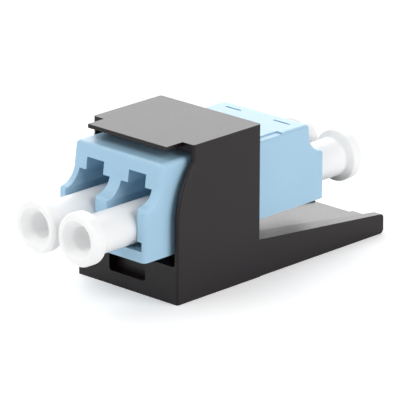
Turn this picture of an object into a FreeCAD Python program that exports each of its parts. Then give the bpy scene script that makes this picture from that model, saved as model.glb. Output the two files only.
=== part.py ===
"""Duplex LC fibre adapter in its snap-in module housing, with four dust caps.

Millimetres. X runs across the two ports, Y from the front ports to the rear
ones and Z up. Y = 0 is the optical mid-plane, where two ferrules meet inside
the alignment sleeves. Z = 0 is the flat underside of the housing.
"""

import FreeCAD, Part
import math
import os
import re

import Sketcher

V = FreeCAD.Vector
FRONT, REAR = -1, 1
LEFT, RIGHT = -1, 1

SIZES = {
    # LC plugs and their layout
    "port_pitch": 6.25,
    "port_axis_height": 8.95,
    "plug_width": 4.50,
    "plug_gap": 0.03,
    # adapter, outside
    "adapter_width": 12.9,
    "front_reach": 14.2,
    "front_underside": 5.45,
    "front_top": 15.85,
    "front_brow_height": 2.3,
    "front_brow_lean": 0.35,
    "rear_reach": 14.1,
    "rear_underside": 6.1,
    "rear_top": 15.05,
    "rear_brow_height": 1.2,
    "rear_brow_lean": 0.1,
    "scoop_radius": 2.25,
    "shoulder_reach": 2.3,
    "shell_round": 0.5,
    # adapter, inside each port
    "guide_height": 2.25,
    "guide_rise": 0.75,
    "key_slot_height": 4.05,
    "latch_slot_height": 5.45,
    "latch_slot_width": 2.56,
    "catch_depth": 2.35,
    "latch_pocket_length": 2.8,
    "latch_pocket_width": 3.5,
    "guide_proud": 0.22,
    "corner_notch_width": 0.62,
    "corner_notch_height": 1.05,
    "web_thickness": 1.05,
    # adapter, rear top and underside
    "vent_length": 2.4,
    "vent_width": 0.3,
    "vent_depth": 0.35,
    "vent_offset": 3.6,
    "vent_set_back": 1.55,
    "rebate_width": 1.1,
    "rebate_depth": 0.15,
    "rebate_reach": 7.4,
    "catch_width": 6.0,
    "catch_drop": 0.45,
    "catch_length": 1.8,
    "catch_gap": 0.05,
    # sleeve holders and split sleeves
    "holder_width": 11.3,
    "holder_height": 4.1,
    "holder_thickness": 1.25,
    "holder_gap": 0.05,
    "holder_round": 0.4,
    "tube_radius": 1.45,
    "tube_reach": 4.35,
    "tube_gap": 0.05,
    "ferrule_hole_radius": 0.66,
    "sleeve_radius": 0.81,
    "sleeve_wall": 0.1875,
    "sleeve_length": 6.8,
    "sleeve_slit": 0.25,
    "sleeve_gap": 0.04,
    # dust caps
    "cap_reach": 21.0,
    "cap_inner_end": 3.0,
    "barrel_gap": 0.08,
    "rim_radius": 2.95,
    "rim_length": 1.5,
    "flange_length": 0.6,
    "lip_chamfer": 0.3,
    "mouth_radius": 2.15,
    "mouth_depth": 0.95,
    "recess_radius": 1.38,
    "recess_depth": 3.4,
    "cap_web": 0.9,
    "cap_tube_gap": 0.15,
    # module housing
    "module_width": 15.0,
    "module_height": 17.4,
    "module_length": 12.95,
    "module_front_reach": 10.25,
    "nose_set_back": 2.45,
    "nose_start": 8.75,
    "nose_end": 15.4,
    "edge_round": 0.28,
    "lip_width": 11.72,
    "lip_thickness": 0.45,
    "roof_thickness": 1.0,
    "skin": 0.4,
    "relief_floor": 4.2,
    "relief_depth": 3.75,
    "relief_round": 0.35,
    "seat_gap": 0.05,
    "icon_width": 5.45,
    "icon_bottom": 1.58,
    "icon_top": 3.55,
    "icon_depth": 1.2,
    "icon_round": 0.4,
    # latch tongue of the housing
    "tongue_length": 20.35,
    "tongue_inset": 0.1,
    "rail_root_height": 4.25,
    "rail_end_height": 2.25,
    "rail_thickness": 1.0,
    "floor_root_height": 4.15,
    "floor_end_height": 1.3,
    "floor_thickness": 0.95,
    "floor_half_width": 2.85,
    "floor_step": 0.2,
    "floor_shoulder": 4.65,
    "end_wall": 1.0,
    "tongue_round": 0.5,
}

FORMULAS = {
    "port_half": "plug_width / 2 + plug_gap",
    "port_floor": "port_axis_height - port_half",
    "guide_underside": "port_axis_height + guide_height",
    "guide_top": "guide_underside + guide_rise",
    "key_slot_top": "port_axis_height + key_slot_height",
    "latch_slot_top": "port_axis_height + latch_slot_height",
    "front_brow": "front_reach - scoop_radius",
    "front_scoop_top": "front_top - front_brow_height",
    "front_scoop_foot": "front_scoop_top - scoop_radius",
    "rear_brow": "rear_reach - scoop_radius",
    "rear_scoop_top": "rear_top - rear_brow_height",
    "rear_scoop_foot": "rear_scoop_top - scoop_radius",
    "web_face": "holder_thickness + web_thickness",
    "barrel_radius": "port_half - barrel_gap",
    "holder_bore": "sleeve_radius + sleeve_gap",
    "recess_floor": "cap_reach - recess_depth",
    "blind_bore_end": "recess_floor - cap_web",
    "rim_back": "cap_reach - rim_length",
    "flange_start": "rim_back - flange_length",
    "module_rear": "module_length - module_front_reach",
    "nose_rise": "nose_end - nose_start",
    "nose_radius": "(nose_set_back ^ 2 + nose_rise ^ 2) / (2 * nose_set_back)",
    "nose_back": "nose_set_back - module_front_reach",
    "tongue_end": "module_rear + tongue_length",
    "tongue_half": "module_width / 2 - tongue_inset",
    "rail_inside": "tongue_half - rail_thickness",
    "floor_fall": "floor_root_height - floor_end_height",
    "core_start": "module_rear + end_wall",
    "core_end": "tongue_end - end_wall",
    "core_roof": "floor_thickness + floor_fall * end_wall / tongue_length",
}

WORD = re.compile(r"[a-z][a-z_]+")


def bind(text):
    """An expression in plain words, rewritten for the spreadsheet's cells."""

    def known(match):
        word = match.group()
        if word in FORMULAS:
            return "(" + bind(FORMULAS[word]) + ")"
        return "sizes." + word if word in SIZES else word

    return WORD.sub(known, str(text))


def value(text):
    """The number that an expression has now, in millimetres."""
    found = sheet.evalExpression(bind(text))
    return float(getattr(found, "Value", found))


def fill_sheet():
    """Writes each driving size into a cell and gives the cell its alias."""
    made = doc.addObject("Spreadsheet::Sheet", "sizes")
    for row, (word, number) in enumerate(SIZES.items(), start=1):
        made.set(f"A{row}", word.replace("_", " "))
        made.set(f"B{row}", str(number))
        made.setAlias(f"B{row}", word)
    doc.recompute()
    return made


# Sketches and features


def origin_plane(body, role):
    return next(f for f in body.Origin.OriginFeatures if f.Role == role)


def sketch_on(body, name, role, offset="0"):
    """An empty sketch on an origin plane, moved by offset along the row axis."""
    made = body.newObject("Sketcher::SketchObject", name)
    made.AttachmentSupport = [(origin_plane(body, role), "")]
    made.MapMode = "FlatFace"
    sign = "-" if role == "XZ_Plane" else ""
    made.setExpression("AttachmentOffset.Base.z", f"{sign}({bind(offset)})")
    return made


def arc_between(start, end, radius, turn):
    """The shorter arc from start to end. turn is 1 to the left, -1 to the right."""
    chord = end - start
    left = V(-chord.y, chord.x, 0).normalize()
    rise = math.sqrt(max(radius**2 - (chord.Length / 2) ** 2, 0))
    centre = (start + end) / 2 + left * (turn * rise)
    first, last = (start, end) if turn > 0 else (end, start)
    angles = [math.atan2(p.y - centre.y, p.x - centre.x) for p in (first, last)]
    if angles[1] < angles[0]:
        angles[1] += 2 * math.pi
    return Part.ArcOfCircle(Part.Circle(centre, V(0, 0, 1), radius), *angles)


def tie(sketch, kind, references, text):
    """Adds a dimension to a sketch and binds it to the sheet."""
    number = sketch.addConstraint(Sketcher.Constraint(kind, *references, value(text)))
    sketch.setExpression(f"Constraints[{number}]", bind(text))


def outline(sketch, corners):
    """Draws a closed outline through corners whose places are bound to the sheet.

    A corner is (across, up). One that an arc leads to is (across, up, radius,
    turn), with turn 1 where the arc bends to the left and -1 to the right.
    """
    spots = [V(value(c[0]), value(c[1]), 0) for c in corners]
    first = sketch.GeometryCount
    ends = []
    for i, corner in enumerate(corners):
        if len(corner) == 2:
            sketch.addGeometry(Part.LineSegment(spots[i - 1], spots[i]))
            ends.append((1, 2))
            continue
        radius, turn = corner[2:]
        sketch.addGeometry(arc_between(spots[i - 1], spots[i], value(radius), turn))
        ends.append((1, 2) if turn > 0 else (2, 1))
        tie(sketch, "Radius", (first + i,), radius)
    for i, corner in enumerate(corners):
        following = (i + 1) % len(corners)
        here = (first + i, ends[i][1])
        there = (first + following, ends[following][0])
        sketch.addConstraint(Sketcher.Constraint("Coincident", *here, *there))
        tie(sketch, "DistanceX", (-1, 1, *here), corner[0])
        tie(sketch, "DistanceY", (-1, 1, *here), corner[1])


def rectangle(sketch, left, right, low, high):
    outline(sketch, [(left, low), (right, low), (right, high), (left, high)])


def circle(sketch, across, up, radius):
    number = sketch.GeometryCount
    centre = V(value(across), value(up), 0)
    sketch.addGeometry(Part.Circle(centre, V(0, 0, 1), value(radius)))
    tie(sketch, "Radius", (number,), radius)
    tie(sketch, "DistanceX", (-1, 1, number, 3), across)
    tie(sketch, "DistanceY", (-1, 1, number, 3), up)


def feature(body, kind, name, sketch):
    made = body.newObject("PartDesign::" + kind, name)
    made.Profile = sketch
    sketch.Visibility = False
    return made


def pad(body, name, sketch, length, towards=1, symmetric=False):
    """Adds material. towards is 1 along the sketch's normal and -1 against it."""
    made = feature(body, "Pad", name, sketch)
    made.SideType = "Symmetric" if symmetric else "One side"
    made.Reversed = towards < 0
    made.setExpression("Length", bind(length))
    return made


def pocket(body, name, sketch, length, towards=-1, symmetric=False):
    """Cuts material. towards is -1 against the sketch's normal and 1 along it."""
    before = body_volume(body)
    made = feature(body, "Pocket", name, sketch)
    made.SideType = "Symmetric" if symmetric else "One side"
    made.Reversed = towards > 0
    made.setExpression("Length", bind(length))
    if body_volume(body) >= before:
        raise RuntimeError(f"{name} cuts nothing from {body.Label}")
    return made


def body_volume(body):
    doc.recompute()
    return body.Shape.Volume


def revolve(body, name, sketch):
    """Turns a sketch through a full circle about its own upright axis."""
    made = feature(body, "Revolution", name, sketch)
    made.ReferenceAxis = (sketch, ["V_Axis"])
    made.Angle = 360
    return made


def mirror(body, name, features):
    """Repeats features on the other side of the plane X = 0."""
    made = body.newObject("PartDesign::Mirrored", name)
    made.Originals = features
    made.MirrorPlane = (origin_plane(body, "YZ_Plane"), [""])
    body.Tip = made
    doc.recompute()
    return made


def round_edges(body, name, radius, wanted):
    """Fillets those edges of the body so far for which wanted(edge) is true."""
    doc.recompute()
    base = body.Tip
    numbers = [i for i, e in enumerate(base.Shape.Edges, start=1) if wanted(e)]
    made = body.newObject("PartDesign::Fillet", name)
    made.Base = (base, [f"Edge{i}" for i in numbers])
    made.setExpression("Radius", bind(radius))
    doc.recompute()
    return made


def new_body(name):
    made = doc.addObject("PartDesign::Body", name)
    made.Label = name
    return made


def near(number, text, slack=1e-4):
    return abs(number - value(text)) < slack


def runs_along(edge, axis):
    """True for a straight edge parallel to that axis: 0 is X, 1 is Y, 2 is Z."""
    box = edge.BoundBox
    spans = (box.XLength, box.YLength, box.ZLength)
    return all(i == axis or spans[i] < 1e-4 for i in range(3))


def on_side(edge, half_width):
    """True for an edge that lies in one of the two planes X = half_width or its mirror."""
    box = edge.BoundBox
    flat = box.XLength < 1e-4
    return flat and near(abs(box.XMin), half_width)


# Adapter shells


def shell_side_view(end):
    """Corners of a shell seen from its side, the front or the rear one by end."""
    word = "front" if end == FRONT else "rear"
    turn = -end
    corners = [
        (f"{end} * {word}_reach", f"{word}_underside"),
        (f"{end} * {word}_reach", f"{word}_scoop_foot"),
        (f"{end} * {word}_brow", f"{word}_scoop_top", "scoop_radius", turn),
        (f"{end} * ({word}_brow - {word}_brow_lean)", f"{word}_top"),
    ]
    if end == FRONT:
        corners += [("-shoulder_reach", "front_top"), ("-shoulder_reach", "rear_top")]
    corners += [("0", "rear_top"), ("0", "rear_underside")]
    if end == FRONT:
        corners += [("-shoulder_reach", "rear_underside"), ("-shoulder_reach", "front_underside")]
    return corners


def shell_block(body, end):
    """The shell's solid block: its side view across the adapter's width, rounded."""
    side_view = sketch_on(body, "side_view", "YZ_Plane")
    outline(side_view, shell_side_view(end))
    pad(body, "block", side_view, "adapter_width", symmetric=True)
    word = "front" if end == FRONT else "rear"
    inner = value("shoulder_reach" if end == FRONT else "0")
    reach = value(f"{word}_reach")

    def upper_edge(edge):
        box = edge.BoundBox
        near_end, far_end = sorted((abs(box.YMin), abs(box.YMax)))
        if on_side(edge, "adapter_width / 2"):
            return far_end > inner + 0.01 and box.ZMax > value(f"{word}_scoop_foot") + 0.01
        return box.XLength > 1 and near_end > inner + 0.01 and near(box.ZMin, f"{word}_top")

    def face_edge(edge):
        box = edge.BoundBox
        near_end = min(abs(box.YMin), abs(box.YMax))
        return on_side(edge, "adapter_width / 2") and near_end > reach - 0.01

    round_edges(body, "upper_rounds", "shell_round", upper_edge)
    round_edges(body, "face_rounds", "shell_round", face_edge)


def port_cavity(body, end):
    """Cuts the right-hand plug cavity, latch slot and latch pocket, and mirrors them."""
    word = "front" if end == FRONT else "rear"
    face = f"{end} * {word}_reach"
    brow = f"({word}_brow - catch_depth)"
    centre = "port_pitch / 2"
    inner, outer = f"{centre} - port_half", f"{centre} + port_half"

    plug = sketch_on(body, "plug_opening", "XZ_Plane", face)
    rectangle(plug, inner, outer, "port_floor", "guide_underside")
    plug_cut = pocket(body, "plug_cavity", plug, f"{word}_reach - web_face", end)

    key = sketch_on(body, "key_opening", "XZ_Plane", face)
    outline(key, key_corners(centre))
    key_cut = pocket(
        body, "key_slot", key, f"{word}_reach - {brow} + latch_pocket_length", end
    )

    latch = sketch_on(body, "latch_opening", "XZ_Plane", face)
    half = "latch_slot_width / 2"
    rectangle(latch, f"{centre} - {half}", f"{centre} + {half}", "guide_top", "latch_slot_top")
    latch_cut = pocket(body, "latch_slot", latch, f"{word}_reach - {brow}", end)

    catch = sketch_on(body, "pocket_opening", "XZ_Plane", f"{end} * {brow}")
    half = "latch_pocket_width / 2"
    rectangle(catch, f"{centre} - {half}", f"{centre} + {half}", "guide_top", "latch_slot_top")
    catch_cut = pocket(body, "latch_pocket", catch, "latch_pocket_length", end)

    mirror(body, "left_port", [plug_cut, key_cut, latch_cut, catch_cut])


def key_corners(centre):
    """The opening above a plug: a ramped guide rail on each side, then the key slot."""
    right = [
        (f"{centre} + port_half - guide_proud", "guide_underside"),
        (f"{centre} + port_half", "guide_top"),
        (f"{centre} + port_half", "key_slot_top"),
    ]
    left = [
        (f"{centre} - port_half", "key_slot_top"),
        (f"{centre} - port_half", "guide_top"),
        (f"{centre} - port_half + guide_proud", "guide_underside"),
    ]
    return right + left


def holder_seat(body, end):
    """Cuts the recess for the sleeve holder's plate and the holes for its tubes."""
    plate = sketch_on(body, "plate_recess", "XZ_Plane")
    half_width = "(holder_width / 2 + holder_gap)"
    half_height = "(holder_height / 2 + holder_gap)"
    rectangle(
        plate,
        f"-{half_width}",
        half_width,
        f"port_axis_height - {half_height}",
        f"port_axis_height + {half_height}",
    )
    pocket(body, "plate_seat", plate, "holder_thickness", -end)
    holes = sketch_on(body, "tube_holes", "XZ_Plane")
    for side in (LEFT, RIGHT):
        circle(holes, f"{side} * port_pitch / 2", "port_axis_height", "tube_radius + tube_gap")
    pocket(body, "tube_passages", holes, "web_face", -end)


def corner_notches(body):
    """Cuts the small square notch beside each front port, at its outer lower corner."""
    notches = sketch_on(body, "notch_outline", "XZ_Plane", "-front_reach")
    edge = "port_pitch / 2 + port_half"
    rectangle(
        notches,
        edge,
        f"{edge} + corner_notch_width",
        "port_floor",
        "port_floor + corner_notch_height",
    )
    cut = pocket(body, "corner_notch", notches, "front_reach - front_brow", FRONT)
    mirror(body, "left_notch", [cut])


def rear_top_details(body):
    """Cuts the rear shell's two vent slots and the rebates along its top corners."""
    slots = sketch_on(body, "vent_outline", "XY_Plane", "rear_top")
    far = "(rear_brow - vent_set_back)"
    for side in (LEFT, RIGHT):
        rectangle(
            slots,
            f"{side} * vent_offset - vent_length / 2",
            f"{side} * vent_offset + vent_length / 2",
            f"{far} - vent_width",
            far,
        )
    pocket(body, "vent_slots", slots, "vent_depth")
    corners = sketch_on(body, "rebate_outline", "XY_Plane", "rear_top")
    for side in (LEFT, RIGHT):
        rectangle(
            corners,
            f"{side} * (adapter_width / 2 - rebate_width)",
            f"{side} * (adapter_width / 2 + rebate_width)",
            "0",
            "rebate_reach",
        )
    pocket(body, "corner_rebates", corners, "rebate_depth")


def retaining_catch(body):
    """Adds the ramp under the rear shell that holds the adapter in the housing."""
    ramp = sketch_on(body, "catch_side_view", "YZ_Plane")
    start = "module_rear + catch_gap"
    outline(
        ramp,
        [
            (start, "rear_underside + shell_round"),
            (start, "rear_underside - catch_drop"),
            (f"{start} + catch_length", "rear_underside"),
            (f"{start} + catch_length", "rear_underside + shell_round"),
        ],
    )
    pad(body, "retaining_catch", ramp, "catch_width", symmetric=True)


def adapter_shell(name, end):
    body = new_body(name)
    shell_block(body, end)
    port_cavity(body, end)
    holder_seat(body, end)
    if end == FRONT:
        corner_notches(body)
    else:
        rear_top_details(body)
        retaining_catch(body)
    return body


# Pieces inside the adapter


def sleeve_holder(name, end):
    """A plate with two tubes, each bored to trap half of an alignment sleeve."""
    body = new_body(name)
    plate = sketch_on(body, "plate_outline", "XZ_Plane")
    rectangle(
        plate,
        "-holder_width / 2",
        "holder_width / 2",
        "port_axis_height - holder_height / 2",
        "port_axis_height + holder_height / 2",
    )
    pad(body, "plate", plate, "holder_thickness", -end)
    round_edges(body, "plate_rounds", "holder_round", lambda edge: runs_along(edge, 1))
    for word, radius, reach in (
        ("tube", "tube_radius", "tube_reach"),
        ("ferrule", "ferrule_hole_radius", "tube_reach"),
        ("sleeve", "holder_bore", "sleeve_length / 2 + sleeve_gap"),
    ):
        rounds = sketch_on(body, word + "_circles", "XZ_Plane")
        for side in (LEFT, RIGHT):
            circle(rounds, f"{side} * port_pitch / 2", "port_axis_height", radius)
        if word == "tube":
            pad(body, "tubes", rounds, reach, -end)
        else:
            pocket(body, word + "_bores", rounds, reach, -end)
    return body


def split_sleeve(name, side):
    """A slit ceramic tube that lines up the two ferrules of one port."""
    body = new_body(name)
    ring = sketch_on(body, "ring", "XZ_Plane")
    centre = f"{side} * port_pitch / 2"
    circle(ring, centre, "port_axis_height", "sleeve_radius")
    circle(ring, centre, "port_axis_height", "sleeve_radius - sleeve_wall")
    pad(body, "tube", ring, "sleeve_length", symmetric=True)
    slit = sketch_on(body, "slit_outline", "XZ_Plane")
    rectangle(
        slit,
        f"{centre} - sleeve_slit / 2",
        f"{centre} + sleeve_slit / 2",
        "port_axis_height",
        "port_axis_height + 2 * sleeve_radius",
    )
    pocket(body, "slit", slit, "sleeve_length", symmetric=True)
    return body


# Dust caps


def cap_section():
    """Half the section of a cap. Across is the radius, up the distance from the mid-plane."""
    bore = "tube_radius + cap_tube_gap"
    return [
        ("0", "blind_bore_end"),
        (bore, "blind_bore_end"),
        (bore, "cap_inner_end"),
        ("barrel_radius", "cap_inner_end"),
        ("barrel_radius", "flange_start"),
        ("rim_radius", "rim_back"),
        ("rim_radius", "cap_reach - lip_chamfer"),
        ("rim_radius - lip_chamfer", "cap_reach"),
        ("mouth_radius", "cap_reach"),
        ("recess_radius", "cap_reach - mouth_depth"),
        ("recess_radius", "recess_floor"),
        ("0", "recess_floor"),
    ]


def dust_cap(name, end, side):
    """A turned cap: a long bore that clears a holder tube, a flanged rim and a recess.

    The cap is drawn about the Y axis, pointing to +Y, and then set in its port.
    """
    body = new_body(name)
    section = sketch_on(body, "section", "XY_Plane")
    outline(section, cap_section())
    revolve(body, "turned_cap", section)
    turn = FreeCAD.Rotation(V(0, 0, 1), 0 if end == REAR else 180)
    body.Placement = FreeCAD.Placement(V(), turn)
    body.setExpression("Placement.Base.x", bind(f"{side} * port_pitch / 2"))
    body.setExpression("Placement.Base.z", bind("port_axis_height"))
    return body


# Module housing


def housing_block(body):
    """The side view of box and tongue, padded across, with its upright edges rounded."""
    side_view = sketch_on(body, "side_view", "YZ_Plane")
    outline(
        side_view,
        [
            ("-module_front_reach", "0"),
            ("-module_front_reach", "nose_start"),
            ("nose_back", "nose_end", "nose_radius", -1),
            ("nose_back", "module_height"),
            ("module_rear", "module_height"),
            ("module_rear", "rail_root_height"),
            ("tongue_end", "rail_end_height"),
            ("tongue_end", "0"),
        ],
    )
    pad(body, "block", side_view, "module_width", symmetric=True)

    def upright(edge):
        box = edge.BoundBox
        if not on_side(edge, "module_width / 2") or near(box.YMax, "tongue_end"):
            return False
        rises = box.ZLength > value("module_height - nose_end") - 1e-3
        return rises and box.YMin < value("module_rear") + 1e-3

    def tongue_tip(edge):
        return runs_along(edge, 0) and near(edge.BoundBox.YMax, "tongue_end")

    round_edges(body, "upright_rounds", "edge_round", upright)
    round_edges(body, "tip_rounds", "tongue_round", tongue_tip)


def housing_lip(body):
    """The thin lip that runs forward from the roof above the front ports."""
    plan = sketch_on(body, "lip_plan", "XY_Plane", "module_height")
    rectangle(
        plan, "-lip_width / 2", "lip_width / 2", "-module_front_reach", "nose_back + roof_thickness"
    )
    pad(body, "lip", plan, "lip_thickness", -1)


def housing_openings(body):
    """The stepped opening that the adapter is pushed into, and the icon pocket."""
    front = "-module_front_reach"
    relief = sketch_on(body, "relief_outline", "XZ_Plane", front)
    half = "(module_width / 2 - skin)"
    rectangle(relief, f"-{half}", half, "relief_floor", "module_height - roof_thickness")
    pocket(body, "front_relief", relief, "relief_depth")

    seat = sketch_on(body, "front_seat_outline", "XZ_Plane", front)
    half = "(adapter_width / 2 + seat_gap)"
    rectangle(seat, f"-{half}", half, "front_underside - seat_gap", "front_top + seat_gap")
    pocket(body, "front_seat", seat, "module_front_reach - shoulder_reach + seat_gap")

    passage = sketch_on(body, "rear_seat_outline", "XZ_Plane", front)
    rectangle(passage, f"-{half}", half, "rear_underside - seat_gap", "rear_top + seat_gap")
    pocket(body, "rear_seat", passage, "module_length")

    icon = sketch_on(body, "icon_outline", "XZ_Plane", front)
    rectangle(icon, "-icon_width / 2", "icon_width / 2", "icon_bottom", "icon_top")
    pocket(body, "icon_pocket", icon, "icon_depth")

    def low_corner(height):
        return lambda edge: (
            runs_along(edge, 1)
            and near(edge.BoundBox.ZMin, height)
            and near(edge.BoundBox.YMin, front)
        )

    round_edges(body, "relief_rounds", "relief_round", low_corner("relief_floor"))
    round_edges(body, "icon_rounds", "icon_round", low_corner("icon_bottom"))


def tongue_top(body):
    """Hollows the top of the tongue: a sloping floor that rises to a rail on each side."""
    section = sketch_on(body, "floor_section", "XZ_Plane", "tongue_end")
    slope = "(rail_end_height - floor_end_height - floor_step) / (rail_inside - floor_shoulder)"
    brow = f"floor_end_height + floor_step + {slope} * (tongue_half - floor_shoulder)"
    high = "module_height / 2"
    right = [
        ("floor_half_width", "floor_end_height"),
        ("floor_half_width", "floor_end_height + floor_step"),
        ("floor_shoulder", "floor_end_height + floor_step"),
        ("tongue_half", brow),
        ("tongue_half", high),
    ]
    left = [(f"-{across}", up) for across, up in reversed(right)]
    outline(section, right + left)
    cut = feature(body, "Pocket", "tongue_floor", section)
    cut.UseCustomVector = True
    cut.AlongSketchNormal = True
    cut.setExpression("Direction.x", "0")
    cut.setExpression("Direction.y", bind("-tongue_length"))
    cut.setExpression("Direction.z", bind("floor_fall"))
    cut.setExpression("Length", bind("tongue_length"))


def tongue_underside(body):
    """Cores the tongue from below, so that its floor is one even wall."""
    side_view = sketch_on(body, "core_side_view", "YZ_Plane")
    outline(
        side_view,
        [
            ("core_start", "-edge_round"),
            ("core_end", "-edge_round"),
            ("core_end", "floor_end_height - core_roof + floor_fall * 2 * end_wall / tongue_length"),
            ("core_start", "floor_root_height - core_roof"),
        ],
    )
    pocket(body, "tongue_core", side_view, "2 * rail_inside", symmetric=True)


def tongue_sides(body):
    """Sets the tongue's sides a little in from the box's."""
    plan = sketch_on(body, "side_plan", "XY_Plane", "rail_root_height")
    for side in (LEFT, RIGHT):
        rectangle(
            plan,
            f"{side} * tongue_half",
            f"{side} * (module_width / 2 + tongue_inset)",
            "module_rear",
            "tongue_end + tongue_inset",
        )
    pocket(body, "side_insets", plan, "rail_root_height")


def module_housing(name):
    body = new_body(name)
    housing_block(body)
    housing_lip(body)
    housing_openings(body)
    tongue_top(body)
    tongue_underside(body)
    tongue_sides(body)
    return body


# The whole product


def build():
    """Makes every piece. Each is a body of its own with its node's name."""
    pieces = [
        module_housing("module_housing"),
        adapter_shell("adapter_front_shell", FRONT),
        adapter_shell("adapter_rear_shell", REAR),
        sleeve_holder("sleeve_holder_front", FRONT),
        sleeve_holder("sleeve_holder_rear", REAR),
    ]
    for side, word in ((LEFT, "left"), (RIGHT, "right")):
        pieces.append(split_sleeve(f"split_sleeve_{word}", side))
    for end, end_word in ((FRONT, "front"), (REAR, "rear")):
        for side, side_word in ((LEFT, "left"), (RIGHT, "right")):
            pieces.append(dust_cap(f"dust_cap_{end_word}_{side_word}", end, side))
    return pieces


def check(pieces):
    """Stops if any object of the document failed or any piece is not one sound solid."""
    doc.recompute()
    for thing in doc.Objects:
        if "Invalid" in thing.State or "Error" in thing.State:
            raise RuntimeError(f"{thing.Name} failed: {thing.State}")
    for piece in pieces:
        shape = piece.Shape
        if shape.isNull() or not shape.isValid() or len(shape.Solids) != 1:
            raise RuntimeError(f"{piece.Label} is not one valid solid")


def export(pieces):
    os.makedirs("parts", exist_ok=True)
    for piece in pieces:
        piece.Shape.exportStep(f"parts/{piece.Label}.step")
        box = piece.Shape.BoundBox
        print(
            f"{piece.Label:22s} volume {piece.Shape.Volume:8.2f}"
            f"  X {box.XMin:7.2f} {box.XMax:7.2f}"
            f"  Y {box.YMin:7.2f} {box.YMax:7.2f}"
            f"  Z {box.ZMin:7.2f} {box.ZMax:7.2f}"
        )


doc = FreeCAD.newDocument("lc_adapter")
sheet = fill_sheet()
made_pieces = build()
check(made_pieces)
export(made_pieces)
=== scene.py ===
"""Looks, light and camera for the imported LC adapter. Metres, in the CAD's frame."""
import math

import bmesh
import bpy
from mathutils import Matrix, Vector

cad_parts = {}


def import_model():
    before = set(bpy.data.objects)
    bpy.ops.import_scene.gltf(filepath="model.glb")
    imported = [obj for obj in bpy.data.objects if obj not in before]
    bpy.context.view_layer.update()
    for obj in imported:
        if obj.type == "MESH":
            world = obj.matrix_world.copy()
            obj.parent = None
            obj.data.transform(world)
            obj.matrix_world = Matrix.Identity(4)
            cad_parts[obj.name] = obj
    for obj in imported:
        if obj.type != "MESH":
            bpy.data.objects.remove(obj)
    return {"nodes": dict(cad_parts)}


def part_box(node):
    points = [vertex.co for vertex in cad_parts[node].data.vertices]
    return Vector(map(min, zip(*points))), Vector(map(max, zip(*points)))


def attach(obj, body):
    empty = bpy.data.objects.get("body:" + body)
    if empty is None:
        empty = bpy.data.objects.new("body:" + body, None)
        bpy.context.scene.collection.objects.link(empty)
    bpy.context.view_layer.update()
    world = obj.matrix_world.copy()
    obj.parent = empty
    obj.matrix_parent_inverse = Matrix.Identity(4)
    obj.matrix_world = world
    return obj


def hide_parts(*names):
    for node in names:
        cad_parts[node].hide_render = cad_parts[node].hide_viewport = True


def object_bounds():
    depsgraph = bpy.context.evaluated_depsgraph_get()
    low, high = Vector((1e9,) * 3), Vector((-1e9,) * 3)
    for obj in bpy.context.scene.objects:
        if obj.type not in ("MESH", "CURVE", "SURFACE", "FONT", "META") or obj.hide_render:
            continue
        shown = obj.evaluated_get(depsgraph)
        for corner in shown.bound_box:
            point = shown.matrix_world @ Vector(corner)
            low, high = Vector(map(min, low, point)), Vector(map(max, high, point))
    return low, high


MM = 0.001

# The view that the object is pictured from. Angles in degrees, the distance from
# the middle of the housing's front foot, lens and sensor in millimetres.
AZIMUTH, ELEVATION, ROLL = 44.57, 19.8, -0.127
DISTANCE = 0.45588
LENS, SENSOR = 381.14, 36.0
CLIP_END = 10.0
FRONT_FOOT = Vector((0.0, -10.25, 0.0)) * MM
VIEW_CENTRE = Vector((7.838, 9.624)) * MM  # right and up of the front foot

# Plastic. Scale is in noise cells per metre.
COLOUR_DRIFT = {"Scale": 160.0, "Detail": 2.0, "Roughness": 0.5}
GLOSS_DRIFT = {"Scale": 2600.0, "Detail": 4.0, "Roughness": 0.6}
WAVES = {"Scale": 260.0, "Detail": 1.0, "Roughness": 0.5}
GRAIN = {"Scale": 9000.0, "Detail": 3.0, "Roughness": 0.65}
NOISE_LOW, NOISE_HIGH = 0.3, 0.7  # the part of the noise's range that is used
WAVE_DEPTH = 6  # times the depth of the grain
WAVE_STRENGTH, GRAIN_STRENGTH = 0.4, 0.6

# Dust cap: the turned section, from the face of the rim inwards
MOUTH_DEPTH, MOUTH_RADIUS = 3.4 * MM, 1.38 * MM
FLARE_DEPTH, FLARE_RADIUS = 0.95 * MM, 2.15 * MM
RIM_BEVEL = 0.3 * MM
RIM_LENGTH = 1.5 * MM
RIM_AND_SLOPE = 2.1 * MM
RIM_STEP = 0.75 * MM  # rim's radius less the barrel's
BORE_RADIUS = 1.6 * MM
BORE_FLOOR_DEPTH = 4.3 * MM
MOUTH_FLOOR_ROUND = 0.25 * MM
FLARE_ROUND = 0.5 * MM
FACE_INNER_ROUND, FACE_OUTER_ROUND = 0.12 * MM, 0.14 * MM
RIM_ROUND, RIM_BACK_ROUND = 0.3 * MM, 0.25 * MM
SLOPE_ROUND = 0.3 * MM
BARREL_END_ROUND = 0.15 * MM
BORE_EDGE_ROUND, BORE_FLOOR_ROUND = 0.1 * MM, 0.2 * MM
ARC_STEPS = 6
TURN_SEGMENTS = 96
SHARP_ANGLE = math.radians(30)
ON_AXIS = 1e-9  # a radius under this is the axis itself

# Stage
WHITE_LIGHT = (1.0, 1.0, 1.0, 1.0)
FLOOR_HALF = 0.6
FLOOR_GAP = 0.02 * MM
FLOOR_COLOUR = (0.92, 0.92, 0.92, 1.0)
FLOOR_GLOW = 0.35
ROOM_STRENGTH, BACKDROP_STRENGTH = 0.05, 1.0
LAMP_DISTANCE = 0.6
# name, azimuth and elevation in degrees, size in metres, power in watts
LAMPS = (
    ("front", -5.0, 12.0, 0.45, 1.65),
    ("high_left", -40.0, 60.0, 0.5, 1.65),
    ("side", 104.0, 24.0, 0.5, 2.5),
    ("back", 225.0, 24.0, 0.7, 3.6),
)

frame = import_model()
cad_low, cad_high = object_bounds()


# Node trees


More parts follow.
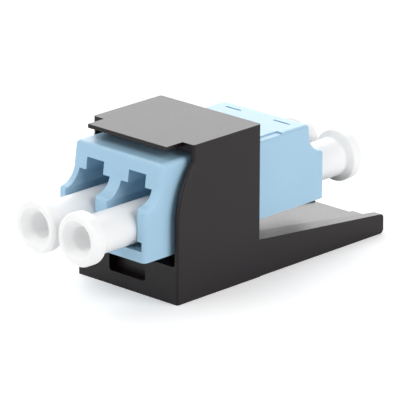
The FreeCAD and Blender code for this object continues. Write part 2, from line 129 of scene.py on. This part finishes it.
class Tree:
    """Adds nodes to the tree of a material or world and links them."""

    def __init__(self, holder, output):
        self.holder = holder
        holder.use_nodes = True
        self.tree = holder.node_tree
        self.tree.nodes.clear()
        self.output = self.add(output)

    def add(self, kind, **settings):
        """A new node. A setting is a socket's value (_ for a space) or a property."""
        node = self.tree.nodes.new(kind)
        for word, setting in settings.items():
            socket = word.replace("_", " ")
            if socket in node.inputs:
                node.inputs[socket].default_value = setting
            else:
                setattr(node, word, setting)
        return node

    def link(self, source, target):
        self.tree.links.new(source, target)

    def noise(self, settings):
        made = self.add("ShaderNodeTexNoise", **settings)
        place = self.add("ShaderNodeTexCoord").outputs["Object"]
        self.link(place, made.inputs["Vector"])
        return made.outputs["Fac"]

    def remap(self, source, low, high):
        """Spreads the used part of a noise over low to high."""
        made = self.add(
            "ShaderNodeMapRange",
            From_Min=NOISE_LOW,
            From_Max=NOISE_HIGH,
            To_Min=low,
            To_Max=high,
        )
        self.link(source, made.inputs["Value"])
        return made.outputs["Result"]

    def blend(self, factor, first, second):
        """A colour between two, which are red, green and blue."""
        made = self.add("ShaderNodeMix", data_type="RGBA")
        self.link(factor, made.inputs["Factor"])
        for word, colour in (("A", first), ("B", second)):
            socket = next(s for s in made.inputs if s.name == word and s.type == "RGBA")
            socket.default_value = (*colour, 1.0)
        return next(s for s in made.outputs if s.type == "RGBA")

    def bump(self, height, distance, strength, under=None):
        made = self.add("ShaderNodeBump", Distance=distance, Strength=strength)
        self.link(height, made.inputs["Height"])
        if under is not None:
            self.link(under, made.inputs["Normal"])
        return made.outputs["Normal"]

    def shown(self):
        """1 for rays that show a thing to the camera: direct, mirrored or through."""
        rays = self.add("ShaderNodeLightPath")
        factor = rays.outputs["Is Camera Ray"]
        for word in ("Is Glossy Ray", "Is Transmission Ray"):
            either = self.add("ShaderNodeMath", operation="MAXIMUM")
            self.link(factor, either.inputs[0])
            self.link(rays.outputs[word], either.inputs[1])
            factor = either.outputs[0]
        return factor

    def mix(self, factor, first, second):
        """One shader where the factor is 0 and the other where it is 1."""
        made = self.add("ShaderNodeMixShader")
        for source, target in zip((factor, first.outputs[0], second.outputs[0]), made.inputs):
            self.link(source, target)
        return made

    def show(self, shader):
        self.link(shader.outputs[0], self.output.inputs["Surface"])


def material_tree(name):
    return Tree(bpy.data.materials.new(name), "ShaderNodeOutputMaterial")


def plastic(name, base, shade, roughness, spread, grain, **shader_settings):
    """Moulded plastic: slow colour drift, a fine spark-eroded grain and uneven gloss.

    base and shade are two near colours, roughness the middle value and spread
    how far it drifts, grain the depth of the texture in metres.
    """
    tree = material_tree(name)
    shader = tree.add("ShaderNodeBsdfPrincipled", **shader_settings)
    colour = tree.blend(tree.remap(tree.noise(COLOUR_DRIFT), 0.0, 1.0), base, shade)
    tree.link(colour, shader.inputs["Base Color"])
    gloss = tree.remap(tree.noise(GLOSS_DRIFT), roughness - spread, roughness + spread)
    tree.link(gloss, shader.inputs["Roughness"])
    waves = tree.bump(tree.noise(WAVES), WAVE_DEPTH * grain, WAVE_STRENGTH)
    fine = tree.bump(tree.noise(GRAIN), grain, GRAIN_STRENGTH, waves)
    tree.link(fine, shader.inputs["Normal"])
    tree.show(shader)
    return tree.holder


def paint(node, material):
    """Gives a CAD node's object a better material in every slot."""
    for held in frame["nodes"][node].material_slots:
        held.material = material


BLACK = plastic(
    "black_plastic",
    base=(0.0034, 0.0010, 0.0020),
    shade=(0.0040, 0.0014, 0.0026),
    roughness=0.36,
    spread=0.015,
    grain=1e-6,
    Specular_IOR_Level=0.29,
)
BLUE = plastic(
    "blue_plastic",
    base=(0.375, 0.60, 0.775),
    shade=(0.39, 0.615, 0.79),
    roughness=0.40,
    spread=0.03,
    grain=1.5e-6,
)
WHITE = plastic(
    "white_plastic",
    base=(0.975, 0.98, 0.985),
    shade=(0.985, 0.985, 0.99),
    roughness=0.34,
    spread=0.04,
    grain=1e-6,
    Subsurface_Weight=0.35,
    Subsurface_Radius=(0.0015, 0.0015, 0.0015),
    Subsurface_Scale=1.0,
)
CERAMIC = plastic(
    "ceramic",
    base=(0.84, 0.83, 0.78),
    shade=(0.86, 0.85, 0.81),
    roughness=0.12,
    spread=0.03,
    grain=5e-7,
)

paint("module_housing", BLACK)
for end in ("front", "rear"):
    paint(f"adapter_{end}_shell", BLUE)
    paint(f"sleeve_holder_{end}", BLUE)
for side in ("left", "right"):
    paint(f"split_sleeve_{side}", CERAMIC)


# Dust caps, turned smooth


def rounded(corners):
    """A polyline through corners (x, y, radius), each with its radius turned by an arc."""
    line = []
    for at, (x, y, radius) in enumerate(corners):
        here = Vector((x, y))
        if not radius:
            line.append(here)
            continue
        back = (Vector(corners[at - 1][:2]) - here).normalized()
        ahead = (Vector(corners[at + 1][:2]) - here).normalized()
        half = back.angle(ahead) / 2
        reach = radius / math.tan(half)
        centre = here + (back + ahead).normalized() * (radius / math.sin(half))
        start, end = here + back * reach - centre, here + ahead * reach - centre
        turn = math.atan2(start.x * end.y - start.y * end.x, start.dot(end))
        for step in range(ARC_STEPS + 1):
            line.append(centre + Matrix.Rotation(turn * step / ARC_STEPS, 2) @ start)
    return line


def turned(name, line, centre, sign):
    """A surface turned about a line along Y.

    line gives radius and distance along, centre the axis in X and Z, and sign
    which way along Y it runs.
    """
    mesh = bpy.data.meshes.new(name)
    made = bmesh.new()
    rings = []
    for radius, along in line:
        if radius < ON_AXIS:
            rings.append([made.verts.new((centre[0], sign * along, centre[1]))])
            continue
        ring = []
        for step in range(TURN_SEGMENTS):
            turn = 2 * math.pi * step / TURN_SEGMENTS
            across, up = radius * math.cos(turn), radius * math.sin(turn)
            ring.append(made.verts.new((centre[0] + across, sign * along, centre[1] + up)))
        rings.append(ring)
    for one, other in zip(rings, rings[1:]):
        for step in range(TURN_SEGMENTS):
            after = (step + 1) % TURN_SEGMENTS
            picks = [one[step % len(one)], other[step % len(other)]]
            picks += [other[after % len(other)], one[after % len(one)]]
            face = made.faces.new(list(dict.fromkeys(picks)))  # a triangle at the axis
            face.smooth = True
    bmesh.ops.recalc_face_normals(made, faces=made.faces)
    made.to_mesh(mesh)
    made.free()
    mesh.set_sharp_from_angle(angle=SHARP_ANGLE)
    piece = bpy.data.objects.new(name, mesh)
    bpy.context.scene.collection.objects.link(piece)
    return piece


def cap(end, side):
    """A dust cap in place of the CAD one, with its edges moulded round."""
    node = f"dust_cap_{end}_{side}"
    low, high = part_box(node)
    reach = max(abs(low[1]), abs(high[1]))
    inner = min(abs(low[1]), abs(high[1]))
    rim = (high[0] - low[0]) / 2
    barrel = rim - RIM_STEP
    profile = [
        (0.0, reach - MOUTH_DEPTH, 0.0),
        (MOUTH_RADIUS, reach - MOUTH_DEPTH, MOUTH_FLOOR_ROUND),
        (MOUTH_RADIUS, reach - FLARE_DEPTH, FLARE_ROUND),
        (FLARE_RADIUS, reach, FACE_INNER_ROUND),
        (rim - RIM_BEVEL, reach, FACE_OUTER_ROUND),
        (rim, reach - RIM_BEVEL, RIM_ROUND),
        (rim, reach - RIM_LENGTH, RIM_BACK_ROUND),
        (barrel, reach - RIM_AND_SLOPE, SLOPE_ROUND),
        (barrel, inner, BARREL_END_ROUND),
        (BORE_RADIUS, inner, BORE_EDGE_ROUND),
        (BORE_RADIUS, reach - BORE_FLOOR_DEPTH, BORE_FLOOR_ROUND),
        (0.0, reach - BORE_FLOOR_DEPTH, 0.0),
    ]
    middle = ((low[0] + high[0]) / 2, (low[2] + high[2]) / 2)
    piece = turned("smooth_" + node, rounded(profile), middle, -1 if end == "front" else 1)
    piece.data.materials.append(WHITE)
    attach(piece, f"cap_{end}_{side}")
    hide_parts(node)


for end in ("front", "rear"):
    for side in ("left", "right"):
        paint(f"dust_cap_{end}_{side}", WHITE)
        cap(end, side)


# Stage


def floor():
    """A white floor that keeps the object's shadow."""
    mesh = bpy.data.meshes.new("floor")
    half, low = FLOOR_HALF, cad_low[2] - FLOOR_GAP
    corners = [(-half, -half, low), (half, -half, low), (half, half, low), (-half, half, low)]
    mesh.from_pydata(corners, [], [(0, 1, 2, 3)])
    made = bpy.data.objects.new("floor", mesh)
    bpy.context.scene.collection.objects.link(made)
    tree = material_tree("floor_white")
    paper = tree.add("ShaderNodeBsdfDiffuse", Color=FLOOR_COLOUR)
    glow = tree.add("ShaderNodeEmission", Color=WHITE_LIGHT, Strength=FLOOR_GLOW)
    lit = tree.add("ShaderNodeAddShader")
    tree.link(paper.outputs[0], lit.inputs[0])
    tree.link(glow.outputs[0], lit.inputs[1])
    tree.show(tree.mix(tree.shown(), paper, lit))
    mesh.materials.append(tree.holder)


def world():
    """A dim white room, which shows as plain white where it is looked at."""
    tree = Tree(bpy.data.worlds.new("studio"), "ShaderNodeOutputWorld")
    room = tree.add("ShaderNodeBackground", Color=WHITE_LIGHT, Strength=ROOM_STRENGTH)
    backdrop = tree.add("ShaderNodeBackground", Color=WHITE_LIGHT, Strength=BACKDROP_STRENGTH)
    tree.show(tree.mix(tree.shown(), room, backdrop))
    bpy.context.scene.world = tree.holder


def direction(azimuth, elevation):
    """From the object towards a viewer there. Azimuth 0 is in front of the ports."""
    a, e = math.radians(azimuth), math.radians(elevation)
    return Vector((math.sin(a) * math.cos(e), -math.cos(a) * math.cos(e), math.sin(e)))


def softbox(name, azimuth, elevation, size, power):
    """A square area light that looks at the middle of the object."""
    data = bpy.data.lights.new(name, "AREA")
    data.shape, data.size, data.energy = "SQUARE", size, power
    made = bpy.data.objects.new(name, data)
    middle = (Vector(cad_low) + Vector(cad_high)) / 2
    towards = direction(azimuth, elevation)
    made.location = middle + towards * LAMP_DISTANCE
    made.rotation_euler = towards.to_track_quat("Z", "Y").to_euler()
    bpy.context.scene.collection.objects.link(made)


def camera():
    """The camera stands off the front foot and aims at the middle of the view."""
    data = bpy.data.cameras.new("camera")
    data.lens, data.sensor_width, data.clip_end = LENS, SENSOR, CLIP_END
    made = bpy.data.objects.new("camera", data)
    bpy.context.scene.collection.objects.link(made)
    back = direction(AZIMUTH, ELEVATION)
    level = Vector((math.cos(math.radians(AZIMUTH)), math.sin(math.radians(AZIMUTH)), 0.0))
    upright = back.cross(level)
    roll = math.radians(ROLL)
    right = level * math.cos(roll) + upright * math.sin(roll)
    up = upright * math.cos(roll) - level * math.sin(roll)
    place = FRONT_FOOT + back * DISTANCE
    target = FRONT_FOOT + right * VIEW_CENTRE.x + up * VIEW_CENTRE.y
    axis = (place - target).normalized()
    right = up.cross(axis).normalized()
    up = axis.cross(right)
    turn = Matrix((right, up, axis)).transposed().to_4x4()
    made.matrix_world = Matrix.Translation(place) @ turn
    bpy.context.scene.camera = made


floor()
world()
for lamp in LAMPS:
    softbox(*lamp)
camera()
bpy.context.scene.view_settings.view_transform = "Standard"
